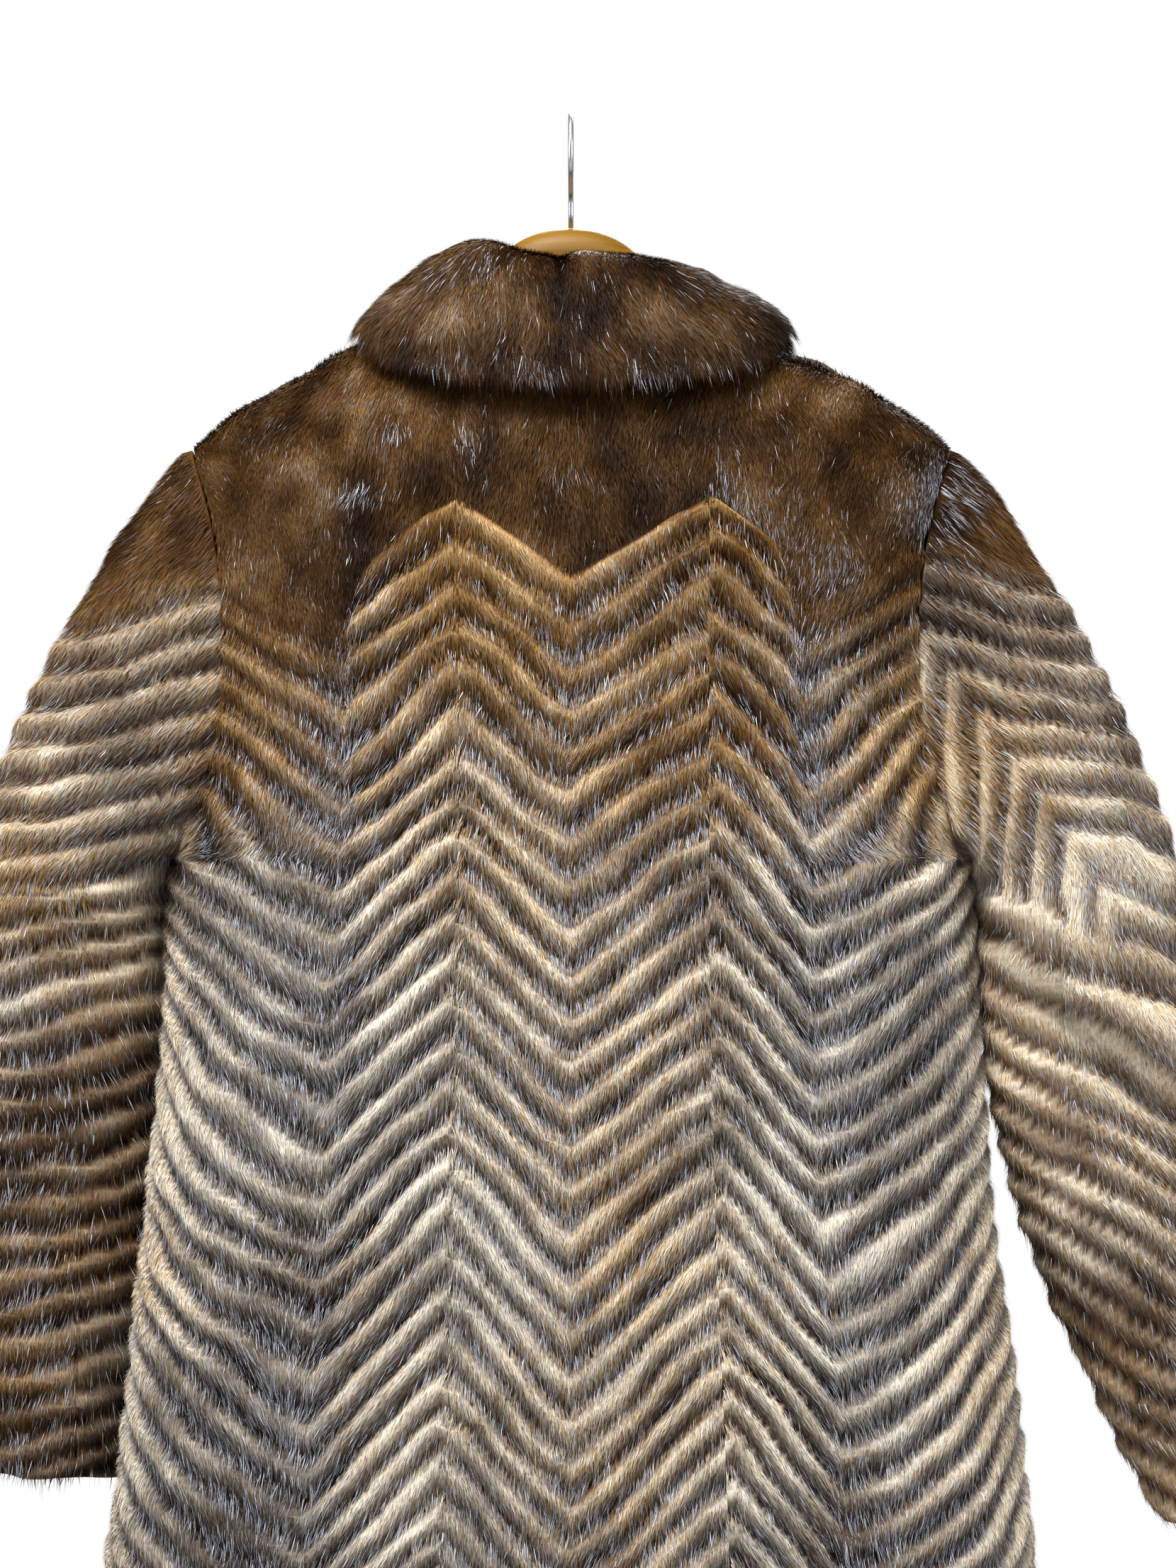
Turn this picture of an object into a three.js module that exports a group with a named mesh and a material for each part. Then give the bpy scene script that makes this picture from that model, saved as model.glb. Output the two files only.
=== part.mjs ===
// A mink fur coat on a wooden hanger, seen and used from the back: a plain yoke, three chevron back panels,
// two fronts, two-piece sleeves and a fold-over collar in two halves. Millimetres, +Z up, the coat faces -Y,
// and the origin is the inside top of the hanger's hook, where a rail carries it.
import * as THREE from "three";
import { mergeVertices } from "three/addons/utils/BufferGeometryUtils.js";

// Driving dimensions.
const WALL = 7; // pelt with its fur pressed flat
const SEAM = 0.5; // gap between two pieces at a seam
const HEM_Z = -980; // hem below the rail
const TIP_Z = -190; // height of the shoulder tip
const ARMPIT_Z = -430;
const NECK_HALF = 78; // half the neck opening, along X
const NECK_SIDE_Z = -116;
const BACK_NECK_DROP = 13;
const FRONT_NECK_DROP = 73;
const SHOULDER_ROUND = 110; // how far below the shoulder line the cloth reaches its full depth
const FRONT_GAP = 4; // between the two front edges
const YOKE_POINT_Z = -270; // lowest points of the yoke's zigzag seam

// Panel lines, as shares of the quarter turn from the centre back (0) to a side seam (1).
const LEFT_PEAK = 0.172;
const LEFT_VALLEY = 0.385;
const RIGHT_PEAK = -0.217;
const RIGHT_VALLEY = -0.4;
const PEAK_RISE = 45; // height of the yoke seam's peaks over its points
const SIDE_RISE = 38; // and of its ends at the armholes
const FLUTE = 4; // depth of the soft vertical flutes between peaks and valleys

// Value at `at` on a smooth curve through rows of [place, value], places in falling or rising order.
function through(rows, at) {
  const sign = rows[1][0] > rows[0][0] ? 1 : -1;
  const last = rows.length - 1;
  if (sign * (at - rows[0][0]) <= 0) return rows[0][1];
  if (sign * (at - rows[last][0]) >= 0) return rows[last][1];
  let i = 0;
  while (sign * (at - rows[i + 1][0]) > 0) i++;
  const slope = (a, b) => (rows[b][1] - rows[a][1]) / (rows[b][0] - rows[a][0]);
  const [x0, y0] = rows[i];
  const [x1, y1] = rows[i + 1];
  const width = x1 - x0;
  const m0 = slope(Math.max(i - 1, 0), i + 1) * width;
  const m1 = slope(i, Math.min(i + 2, last)) * width;
  const s = (at - x0) / width;
  const s2 = s * s;
  const s3 = s2 * s;
  return (2 * s3 - 3 * s2 + 1) * y0 + (s3 - 2 * s2 + s) * m0 + (3 * s2 - 2 * s3) * y1 + (s3 - s2) * m1;
}

const mix = (a, b, s) => a + (b - a) * s;
const clamp01 = (s) => Math.min(1, Math.max(0, s));
const smooth = (s) => clamp01(s) ** 2 * (3 - 2 * clamp01(s));

// The torso form that the body pieces are cut on.
const HALF_WIDTH = [[-100, 236], [-430, 233], [-520, 235], [-620, 242], [-690, 250], [-980, 284]];
const BACK_DEPTH = [[-100, 64], [-430, 68], [-650, 72], [-980, 82]];
const FRONT_DEPTH = [[-100, 68], [-430, 74], [-650, 76], [-980, 86]];
const SHOULDER_LINE = [[0, -98], [78, -116], [138, -138], [172, -154], [199, -170], [222, -190], [236, -204]];
const ARMHOLE_X = [[-190, 222], [-240, 206], [-300, 197], [-350, 199], [-400, 213], [-430, 233]];
const BEND_FROM = 0.35; // panel share where the columns start to bend round the armhole

const shoulderZ = (x) => through(SHOULDER_LINE, Math.abs(x));

// Angle of a body column: a quarter turn at the side seam, less where the armhole cuts the form.
function columnAngle(share, z) {
  const a = Math.abs(share);
  const quarter = Math.PI / 2;
  const edge =
    z > ARMPIT_Z ? Math.asin(Math.min(1, through(ARMHOLE_X, z) / through(HALF_WIDTH, z))) : quarter;
  const angle =
    a <= BEND_FROM
      ? a * quarter
      : BEND_FROM * quarter + ((a - BEND_FROM) / (1 - BEND_FROM)) * (edge - BEND_FROM * quarter);
  return Math.sign(share) * angle;
}

const columnX = (share, z) => through(HALF_WIDTH, z) * Math.sin(columnAngle(share, z));

// Shares of the zigzag: 0 on a valley line and 1 on a peak line or a side seam.
function zigzag(share) {
  const [peak, valley] = share >= 0 ? [LEFT_PEAK, LEFT_VALLEY] : [-RIGHT_PEAK, -RIGHT_VALLEY];
  const a = Math.abs(share);
  if (a <= peak) return a / peak;
  if (a <= valley) return (valley - a) / (valley - peak);
  return (a - valley) / (1 - valley);
}

function yokeSeamZ(share) {
  const side = Math.abs(share) > (share >= 0 ? LEFT_VALLEY : -RIGHT_VALLEY);
  return YOKE_POINT_Z + zigzag(share) * (side ? SIDE_RISE : PEAK_RISE);
}

// A point of the body's outer face. `face` is +1 on the back and -1 on the front.
function bodyPoint(face, share, z) {
  const x = columnX(share, z);
  const halfWidth = through(HALF_WIDTH, z);
  const depth = through(face > 0 ? BACK_DEPTH : FRONT_DEPTH, z);
  const below = clamp01((shoulderZ(x) - z) / SHOULDER_ROUND);
  const round = Math.sqrt(Math.max(0, 1 - (1 - below) ** 2));
  const flat = Math.sqrt(Math.max(0, 1 - Math.abs(x / halfWidth) ** 3));
  const flute = FLUTE * smooth((ARMPIT_Z + 120 - z) / 300) * (smooth(zigzag(share)) - 0.5) * flat;
  return new THREE.Vector3(x, face * (SEAM / 2 + depth * flat * round + (face > 0 ? flute : 0)), z);
}

// The height where a column meets the neckline or the shoulder seam.
function topZ(face, share) {
  let z = NECK_SIDE_Z;
  for (let i = 0; i < 12; i++) {
    const x = Math.abs(columnX(share, z));
    const drop = face > 0 ? BACK_NECK_DROP : FRONT_NECK_DROP;
    z = x < NECK_HALF ? NECK_SIDE_Z - drop * Math.sqrt(1 - (x / NECK_HALF) ** 2) : shoulderZ(x);
  }
  return z;
}

// A closed wall between two faces: `face(u, v)` is its outer face, and the inner one lies `wall` behind it.
// us and vs list the columns and the rows, flip turns the wall inside out, and keep holds an inner point on
// its own side of a seam.
function wallGeometry(face, us, vs, wall, flip, keep = (p) => p) {
  const positions = [];
  const step = 1e-3;
  const inside = (at, list) => Math.min(list[list.length - 1], Math.max(list[0], at));
  const corner = (u, v, behind) => {
    const p = face(u, v);
    if (!behind) return p;
    const du = face(inside(u + step, us), v).sub(face(inside(u - step, us), v));
    const dv = face(u, inside(v + step, vs)).sub(face(u, inside(v - step, vs)));
    const out = du.cross(dv).normalize();
    return keep(p.addScaledVector(out, flip ? behind : -behind));
  };
  const grid = (behind) => us.map((u) => vs.map((v) => corner(u, v, behind)));
  const outer = grid(0);
  const inner = grid(wall);
  const quad = (a, b, c, d) => {
    const order = flip ? [a, c, b, a, d, c] : [a, b, c, a, c, d];
    for (const p of order) positions.push(p.x, p.y, p.z);
  };
  const m = us.length - 1;
  const n = vs.length - 1;
  for (let i = 0; i < m; i++)
    for (let j = 0; j < n; j++) {
      quad(outer[i][j], outer[i + 1][j], outer[i + 1][j + 1], outer[i][j + 1]);
      quad(inner[i][j], inner[i][j + 1], inner[i + 1][j + 1], inner[i + 1][j]);
    }
  for (let i = 0; i < m; i++) {
    quad(outer[i][0], inner[i][0], inner[i + 1][0], outer[i + 1][0]);
    quad(outer[i][n], outer[i + 1][n], inner[i + 1][n], inner[i][n]);
  }
  for (let j = 0; j < n; j++) {
    quad(outer[0][j], outer[0][j + 1], inner[0][j + 1], inner[0][j]);
    quad(outer[m][j], inner[m][j], inner[m][j + 1], outer[m][j + 1]);
  }
  const geometry = new THREE.BufferGeometry();
  geometry.setAttribute("position", new THREE.Float32BufferAttribute(positions, 3));
  return mergeVertices(geometry, 1e-4);
}

const keepBack = (p) => p.setY(Math.max(p.y, SEAM / 2));
const keepFront = (p) => p.setY(Math.min(p.y, -SEAM / 2));

const steps = (from, to, count) => Array.from({ length: count + 1 }, (_, i) => mix(from, to, i / count));

// Columns between the key lines, about `width` apart in shares, with every key line kept.
function columns(keys, width) {
  const found = [keys[0]];
  for (let i = 1; i < keys.length; i++) {
    const count = Math.max(1, Math.round(Math.abs(keys[i] - keys[i - 1]) / width));
    found.push(...steps(keys[i - 1], keys[i], count).slice(1));
  }
  return found;
}

const coat = new THREE.Group();
coat.name = "fur_coat";
const fur = (colour) => new THREE.MeshStandardMaterial({ color: colour, roughness: 0.75, metalness: 0 });
const darkFur = fur(0x3a2212);
const stripFur = fur(0x6b4a2b);

function add(name, geometry, material) {
  geometry.computeVertexNormals();
  const mesh = new THREE.Mesh(geometry, material);
  mesh.name = name;
  coat.add(mesh);
}

// Back: the yoke above the zigzag seam, and three panels below it.
const NECK_SHARE = (Math.asin(NECK_HALF / HALF_WIDTH[0][1]) * 2) / Math.PI;
const backKeys = [-1, -0.7, RIGHT_VALLEY, RIGHT_PEAK, -NECK_SHARE + 0.04, 0, LEFT_PEAK, NECK_SHARE, LEFT_VALLEY, 0.7, 1];
const backColumns = columns(backKeys, 0.1);
const SHARE_INSET = 0.0008; // half a seam's gap, in shares

function panelColumns(from, to) {
  const inside = backColumns.filter((s) => s > from + 1e-6 && s < to - 1e-6);
  const low = from > -1 ? from + SHARE_INSET : from;
  const high = to < 1 ? to - SHARE_INSET : to;
  return [low, ...inside, high];
}

const yoke = (share, v) => {
  const top = topZ(1, share);
  const low = yokeSeamZ(share) + SEAM / 2;
  return bodyPoint(1, share, mix(top, low, v));
};
const YOKE_ROWS = [0, 0.04, 0.12, 0.24, 0.4, 0.58, 0.78, 1];
add("back_yoke", wallGeometry(yoke, backColumns, YOKE_ROWS, WALL, false, keepBack), darkFur);

const panel = (share, v) => bodyPoint(1, share, mix(yokeSeamZ(share) - SEAM / 2, HEM_Z, v));
const panelRows = steps(0, 1, 17);
for (const [name, from, to] of [
  ["back_right", -1, RIGHT_PEAK],
  ["back_center", RIGHT_PEAK, LEFT_PEAK],
  ["back_left", LEFT_PEAK, 1],
])
  add(name, wallGeometry(panel, panelColumns(from, to), panelRows, WALL, false, keepBack), stripFur);

// Fronts: one panel each from the centre front edge to the side seam, shoulder to hem.
const EDGE_SHARE = (Math.asin(FRONT_GAP / 2 / HALF_WIDTH[0][1]) * 2) / Math.PI;
const FRONT_ROWS = [0, 0.01, 0.03, 0.06, 0.1, ...steps(0.15, 1, 15)];
const front = (share, v) => bodyPoint(-1, share, mix(topZ(-1, share), HEM_Z, v));
for (const [name, side] of [["front_left", 1], ["front_right", -1]]) {
  const keys = [EDGE_SHARE, 0.1, NECK_SHARE, 0.4, 0.7, 1].map((s) => s * side).sort((a, b) => a - b);
  add(name, wallGeometry(front, columns(keys, 0.1), FRONT_ROWS, WALL, true, keepFront), stripFur);
}

// Sleeves. A sleeve leaves the armhole (s = 0), turns down to its first ring (s = 1) and runs to the cuff (s = 2).
const SLEEVE_START = 2.5; // clear of the armhole's edge
const FOLD_DEPTH = 11;
const SLEEVES = {
  left: {
    side: 1, centres: [[295, -8, -448], [301, -36, -610], [310, -56, -795]], half: [60, 60], full: 0, deep: [56, 44], fold: 0,
  },
  right: {
    side: -1, centres: [[295, -8, -448], [299, -8, -600], [402, -12, -790]], half: [60, 62], full: 6, deep: [56, 44], fold: 1,
  },
};

// A point of the armhole's edge. turn runs from 0 at the shoulder tip by 0.25 at the back to 0.5 at the armpit.
function armholePoint(side, turn) {
  const t = turn - Math.floor(turn);
  const face = t <= 0.5 ? 1 : -1;
  const down = face > 0 ? 2 * t : 2 * (1 - t);
  const z = mix(TIP_Z, ARMPIT_Z, (1 - Math.cos(Math.PI * down)) / 2);
  return bodyPoint(face, side, z);
}

function sleevePoint(sleeve, turn, s) {
  const { side, centres, half, full, deep, fold } = sleeve;
  const [c0, c1, c2] = centres;
  const along = Math.max(0, s - 1);
  const t = turn - Math.floor(turn);
  const bezier = (k) => mix(mix(c0[k], c1[k], along), mix(c1[k], c2[k], along), along);
  const slope = (k) => 2 * mix(c1[k] - c0[k], c2[k] - c1[k], along);
  const axis = new THREE.Vector3(side * slope(0), 0, slope(2)).normalize();
  const out = new THREE.Vector3(-side * axis.z, 0, side * axis.x).multiplyScalar(side);
  if (out.x * side < 0) out.negate();
  const a = mix(half[0], half[1], along) + full * Math.sin(Math.PI * along);
  const b = mix(deep[0], deep[1], along);
  const ring = new THREE.Vector3(side * bezier(0), bezier(1), bezier(2))
    .addScaledVector(out, a * Math.cos(2 * Math.PI * t))
    .add(new THREE.Vector3(0, b * Math.sin(2 * Math.PI * t), 0));
  if (s < 1) {
    const down = t <= 0.5 ? 2 * t : 2 * (1 - t);
    const leave = new THREE.Vector3(side * mix(0.883, 0.3, down), 0, mix(-0.469, -0.954, down)).normalize();
    const start = armholePoint(side, t).addScaledVector(leave, SLEEVE_START);
    start.x += side * 2 * down;
    const m0 = mix(105, 30, down);
    const m1 = mix(150, 30, down);
    const s2 = s * s;
    const s3 = s2 * s;
    ring
      .multiplyScalar(3 * s2 - 2 * s3)
      .addScaledVector(start, 2 * s3 - 3 * s2 + 1)
      .addScaledVector(leave, (s3 - 2 * s2 + s) * m0)
      .addScaledVector(axis, (s3 - s2) * m1);
  }
  if (fold) {
    // The sleeve's back sags over itself along a line that runs down and out from the armpit.
    const foldZ = through([[0.05, -600], [0.25, -515], [0.42, -462], [0.5, -445]], t);
    const over = ring.z - foldZ;
    const share = smooth((t - 0.02) / 0.12) * smooth((0.5 - t) / 0.1);
    const bulge = over > 0 ? Math.exp(-((over / 60) ** 2)) : 2 * Math.exp(-((over / 14) ** 2)) - 1;
    const fade = over > 0 ? 1 : Math.exp(-((over / 70) ** 2));
    ring.y += FOLD_DEPTH * share * bulge * fade;
  }
  return ring;
}
const TOP_SLEEVE = [-0.3, 0.3]; // turns of the top sleeve's two seams
const TURN_INSET = 0.0008;
const sleeveRows = [...steps(0, 1, 10), ...steps(1, 2, 9).slice(1)];
for (const [name, sleeve] of Object.entries(SLEEVES)) {
  const place = (turn, s) => sleevePoint(sleeve, turn, s);
  const [low, high] = TOP_SLEEVE;
  const flip = sleeve.side > 0;
  const top = steps(low + TURN_INSET, high - TURN_INSET, 10);
  const under = steps(high + TURN_INSET, 1 + low - TURN_INSET, 7);
  add(`sleeve_${name}_top`, wallGeometry(place, top, sleeveRows, WALL, flip), stripFur);
  add(`sleeve_${name}_under`, wallGeometry(place, under, sleeveRows, WALL, flip), stripFur);
}

// Collar: each section stands up from the neckline, rolls over and falls outside. Degrees run round the neck
// from 0 at the centre back, and each list gives [degrees, value].
const COLLAR_SEAM = 4; // the centre-back seam sits a little to the left
const COLLAR_END = 171;
const ROLL_Z = [
  [-171, -172], [-150, -158], [-120, -121], [-90, -94], [-60, -90], [-30, -85], [-8, -85],
  [4, -85], [20, -81], [33, -77], [46, -76], [62, -80], [90, -90], [120, -120], [150, -158], [171, -172],
];
const FALL_Z = [[0, -158], [30, -154], [60, -142], [90, -124], [120, -188], [150, -244], [171, -262]];
const FALL_OUT = [
  [-171, 24], [-150, 34], [-120, 57], [-90, 50], [-60, 44], [-30, 32], [0, 28],
  [30, 32], [60, 42], [90, 47], [120, 55], [150, 34], [171, 24],
];
const ROLL_RADIUS = 9;

function neckPoint(degrees) {
  const x = NECK_HALF * Math.sin(THREE.MathUtils.degToRad(degrees));
  const face = Math.abs(degrees) <= 90 ? 1 : -1;
  const share = (Math.asin(x / HALF_WIDTH[0][1]) * 2) / Math.PI;
  return bodyPoint(face, share, topZ(face, share));
}

const collar = (degrees, v) => {
  const a = Math.abs(degrees);
  const foot = neckPoint(degrees);
  const rollZ = through(ROLL_Z, degrees);
  const fallZ = through(FALL_Z, a);
  const fallOut = through(FALL_OUT, degrees);
  const out = [
    [0, -WALL - 3.5], [0.15, -WALL - 2.5], [0.28, -WALL], [0.36, -WALL / 2 + 1], [0.42, 2], [0.5, ROLL_RADIUS + 2],
    [0.75, mix(ROLL_RADIUS + 2, fallOut, 0.5) + 1.5], [1, fallOut],
  ];
  const up = [
    [0, foot.z + 5], [0.15, mix(foot.z, rollZ, 0.45)], [0.28, rollZ - ROLL_RADIUS], [0.36, rollZ - 2.5],
    [0.42, rollZ], [0.5, rollZ - ROLL_RADIUS + 2], [0.75, mix(rollZ, fallZ, 0.5)], [1, fallZ],
  ];
  const turn = THREE.MathUtils.degToRad(degrees);
  const reach = through(out, v);
  return new THREE.Vector3(foot.x + reach * Math.sin(turn), foot.y + reach * Math.cos(turn), through(up, v));
};
const COLLAR_ROWS = [0, 0.15, 0.28, 0.36, 0.42, 0.5, 0.6, 0.7, 0.8, 0.9, 1];
const SEAM_TURN = 0.5; // degrees from the middle of the seam to each half
const collarLeft = steps(COLLAR_SEAM + SEAM_TURN, COLLAR_END, 18);
const collarRight = steps(-COLLAR_END, COLLAR_SEAM - SEAM_TURN, 18);
add("collar_left", wallGeometry(collar, collarLeft, COLLAR_ROWS, WALL, false), darkFur);
add("collar_right", wallGeometry(collar, collarRight, COLLAR_ROWS, WALL, false), darkFur);

// A solid through a list of rings of points, closed at both ends.
function loft(rings) {
  const positions = [];
  const triangle = (...points) => points.forEach((p) => positions.push(p.x, p.y, p.z));
  const count = rings[0].length;
  for (let i = 0; i + 1 < rings.length; i++)
    for (let k = 0; k < count; k++) {
      const [a, b] = [rings[i][k], rings[i][(k + 1) % count]];
      const [c, d] = [rings[i + 1][(k + 1) % count], rings[i + 1][k]];
      triangle(a, b, c);
      triangle(a, c, d);
    }
  const middle = (ring) => ring.reduce((sum, p) => sum.add(p), new THREE.Vector3()).divideScalar(count);
  const [first, last] = [rings[0], rings[rings.length - 1]];
  const [start, end] = [middle(first), middle(last)];
  for (let k = 0; k < count; k++) {
    triangle(start, first[(k + 1) % count], first[k]);
    triangle(end, last[k], last[(k + 1) % count]);
  }
  const geometry = new THREE.BufferGeometry();
  geometry.setAttribute("position", new THREE.Float32BufferAttribute(positions, 3));
  return mergeVertices(geometry, 1e-4);
}

// Hanger: a contoured wooden bar under the shoulders, with a rounded crown at the neck.
const HANGER_HALF = 232;
const CROWN_Z = -64;
const HANGER_TOP = [[0, CROWN_Z], [14, -65.5], [26, -69.5], [34, -74.5], [44, -84], [56, -101], [68, -120.5], [80, -128.5]];
const HANGER_GAP = 11; // from the shoulder line down to the wood
const hangerRings = [-1, -0.985, -0.95, ...steps(-0.88, 0.88, 30), 0.95, 0.985, 1].map((share) => {
  const x = share * HANGER_HALF;
  const round = Math.sqrt(Math.max(0.02, 1 - Math.max(0, (Math.abs(share) - 0.9) / 0.1) ** 2));
  const top = Math.abs(x) < 80 ? through(HANGER_TOP, Math.abs(x)) : shoulderZ(x) - HANGER_GAP;
  const tall = mix(17, 14, Math.abs(share)) * (Math.abs(x) < 80 ? 1 + 0.35 * smooth(1 - Math.abs(x) / 80) : 1);
  const deep = mix(12, 8, Math.abs(share));
  return Array.from({ length: 16 }, (_, k) => {
    const turn = (k / 16) * 2 * Math.PI;
    const y = deep * round * Math.cos(turn);
    return new THREE.Vector3(x, y, top - tall + tall * round * Math.sin(turn));
  });
});
const wood = new THREE.MeshStandardMaterial({ color: 0xb9822a, roughness: 0.5, metalness: 0 });
add("hanger_bar", loft(hangerRings), wood);

// Hook: 3 mm wire in the YZ plane, open at the front.
const WIRE = 1.5;
const HOOK_RADIUS = 21.5; // to the wire's middle
const hookPath = [];
for (let degrees = 200; degrees >= -50; degrees -= 12.5) {
  const a = THREE.MathUtils.degToRad(degrees);
  hookPath.push([HOOK_RADIUS * Math.cos(a), WIRE - HOOK_RADIUS + HOOK_RADIUS * Math.sin(a)]);
}
hookPath.push([7.2, -41.5], [2.6, -45], [0.4, -49.5], [0, -54], [0, CROWN_Z + 0.4]);
const hookRings = hookPath.map(([y, z], i) => {
  const before = hookPath[Math.max(i - 1, 0)];
  const after = hookPath[Math.min(i + 1, hookPath.length - 1)];
  const ahead = i + 1 === hookPath.length ? [0, -1] : [after[0] - before[0], after[1] - before[1]];
  const long = Math.hypot(...ahead);
  const side = new THREE.Vector3(0, -ahead[1] / long, ahead[0] / long);
  return Array.from({ length: 10 }, (_, k) => {
    const turn = (k / 10) * 2 * Math.PI;
    return new THREE.Vector3(0, y, z)
      .addScaledVector(side, WIRE * Math.cos(turn))
      .add(new THREE.Vector3(WIRE * Math.sin(turn), 0, 0));
  });
});
const steel = new THREE.MeshStandardMaterial({ color: 0xc8ccd0, roughness: 0.2, metalness: 1 });
add("hanger_hook", loft(hookRings), steel);

export default coat;
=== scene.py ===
"""A mink fur coat on a wooden hanger. Metres, +Z up, the coat faces -Y, origin inside the hook's top."""
import math

import bpy
import numpy as np
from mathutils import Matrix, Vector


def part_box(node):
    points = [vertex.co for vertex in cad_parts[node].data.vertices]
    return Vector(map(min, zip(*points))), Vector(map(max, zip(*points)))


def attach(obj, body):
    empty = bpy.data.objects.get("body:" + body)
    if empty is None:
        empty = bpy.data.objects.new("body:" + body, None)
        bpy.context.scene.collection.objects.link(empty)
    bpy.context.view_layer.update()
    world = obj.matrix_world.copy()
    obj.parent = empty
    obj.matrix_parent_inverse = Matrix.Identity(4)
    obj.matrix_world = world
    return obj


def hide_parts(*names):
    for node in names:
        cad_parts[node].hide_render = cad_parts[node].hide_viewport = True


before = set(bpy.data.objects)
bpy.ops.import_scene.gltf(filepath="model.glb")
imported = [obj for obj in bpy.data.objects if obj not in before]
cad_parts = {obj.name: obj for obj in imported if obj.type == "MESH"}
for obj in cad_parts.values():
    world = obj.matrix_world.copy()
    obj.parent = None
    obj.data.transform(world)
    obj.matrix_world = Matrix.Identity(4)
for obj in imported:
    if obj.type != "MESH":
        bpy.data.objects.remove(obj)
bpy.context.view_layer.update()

# Camera: level, behind the coat at shoulder-blade height, square to its back.
BACK_PLANE_Y = 0.06
VIEW_DISTANCE = 1.8
VIEW_CENTRE = (-0.010, -0.388)
VIEW_HEIGHT = 0.885


def put(name, data):
    made = bpy.data.objects.new(name, data)
    bpy.context.collection.objects.link(made)
    return made


camera = put("camera", bpy.data.cameras.new("camera"))
camera.location = (VIEW_CENTRE[0], BACK_PLANE_Y + VIEW_DISTANCE, VIEW_CENTRE[1])
camera.rotation_euler = (math.pi / 2, 0, math.pi)
camera.data.sensor_width = 36
camera.data.lens = camera.data.sensor_width * VIEW_DISTANCE / VIEW_HEIGHT
bpy.context.scene.camera = camera
bpy.context.scene.view_settings.view_transform = "Standard"

# Studio: white paper all round, a dim cool fill and four large soft lamps: one high over the coat's back, one
# on each side and one before its front. The plain pale floor lies as far down as under a wardrobe rail.
COAT_MIDDLE = (0, 0, -0.50)
WARM_WHITE, COOL_WHITE = (1.0, 0.98, 0.95), (0.90, 0.95, 1.0)
FLOOR_DROP = 1.75
FLOOR_HALF = 2.5
world = bpy.data.worlds.new("studio")
world.use_nodes = True
nodes, links = world.node_tree.nodes, world.node_tree.links
nodes["Background"].inputs["Color"].default_value = (0.91, 0.95, 1.0, 1)
nodes["Background"].inputs["Strength"].default_value = 0.30
paper = nodes.new("ShaderNodeBackground")
paper.inputs["Color"].default_value = (1, 1, 1, 1)
seen = nodes.new("ShaderNodeLightPath")
either = nodes.new("ShaderNodeMixShader")
links.new(seen.outputs["Is Camera Ray"], either.inputs["Fac"])
links.new(nodes["Background"].outputs["Background"], either.inputs[1])
links.new(paper.outputs["Background"], either.inputs[2])
links.new(either.outputs["Shader"], nodes["World Output"].inputs["Surface"])
bpy.context.scene.world = world


def soft_lamp(name, place, size, power, colour):
    data = bpy.data.lights.new(name, "AREA")
    data.shape = "RECTANGLE"
    data.size, data.size_y = size
    data.energy = power
    data.color = colour
    lamp = put(name, data)
    lamp.location = place
    away = [p - t for p, t in zip(place, COAT_MIDDLE)]
    flat = math.hypot(away[0], away[1])
    lamp.rotation_euler = (math.atan2(flat, away[2]), 0, math.atan2(away[1], away[0]) + math.pi / 2)


soft_lamp("lamp_high", (0.35, 0.9, 1.5), (0.7, 0.5), 88, WARM_WHITE)
soft_lamp("lamp_left", (1.9, 1.0, 0.1), (0.5, 1.2), 22, COOL_WHITE)
soft_lamp("lamp_right", (-1.9, 1.0, 0.1), (0.5, 1.2), 26, COOL_WHITE)
soft_lamp("lamp_front", (-0.3, -1.5, 1.0), (0.9, 0.6), 60, WARM_WHITE)

floor_data = bpy.data.meshes.new("floor")
corners = [(x * FLOOR_HALF, y * FLOOR_HALF, -FLOOR_DROP) for x, y in ((-1, -1), (1, -1), (1, 1), (-1, 1))]
floor_data.from_pydata(corners, [], [(0, 1, 2, 3)])
floor = put("floor", floor_data)
floor_paint = bpy.data.materials.new("pale_floor")
floor_paint.use_nodes = True
skin = floor_paint.node_tree.nodes["Principled BSDF"]
skin.inputs["Base Color"].default_value = (0.80, 0.79, 0.77, 1)
skin.inputs["Roughness"].default_value = 0.9
floor_data.materials.append(floor_paint)

# Hanger: a contoured bar of golden lacquered wood under the shoulders, its rounded crown showing at the neck.
# It is cut from one plank, so the grain runs along it.


def tangents(places, values):
    """Slope at each place, from the values on both sides of it."""
    before = np.maximum(np.arange(len(places)) - 1, 0)
    after = np.minimum(np.arange(len(places)) + 1, len(places) - 1)
    gaps = (places[after] - places[before]).reshape((-1,) + (1,) * (values.ndim - 1))
    return (values[after] - values[before]) / gaps


def bridge(s, width, start, start_slope, end, end_slope):
    """Value at share s across a gap, from the value and the slope at each side of it."""
    near = (2 * s**3 - 3 * s**2 + 1) * start + (s**3 - 2 * s**2 + s) * width * start_slope
    return near + (3 * s**2 - 2 * s**3) * end + (s**3 - s**2) * width * end_slope


def curve(rows, at):
    """Smooth curve through rows of (place, value), flat beyond its ends."""
    rows = sorted(rows)
    xs = np.array([r[0] for r in rows], float)
    ys = np.array([r[1] for r in rows], float)
    slopes = tangents(xs, ys)
    at = np.clip(np.asarray(at, float), xs[0], xs[-1])
    i = np.clip(np.searchsorted(xs, at, side="right") - 1, 0, len(xs) - 2)
    width = xs[i + 1] - xs[i]
    return bridge((at - xs[i]) / width, width, ys[i], slopes[i], ys[i + 1], slopes[i + 1])


def smooth(s):
    s = np.clip(s, 0, 1)
    return s * s * (3 - 2 * s)


def mix(a, b, s):
    return a + (b - a) * s


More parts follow.
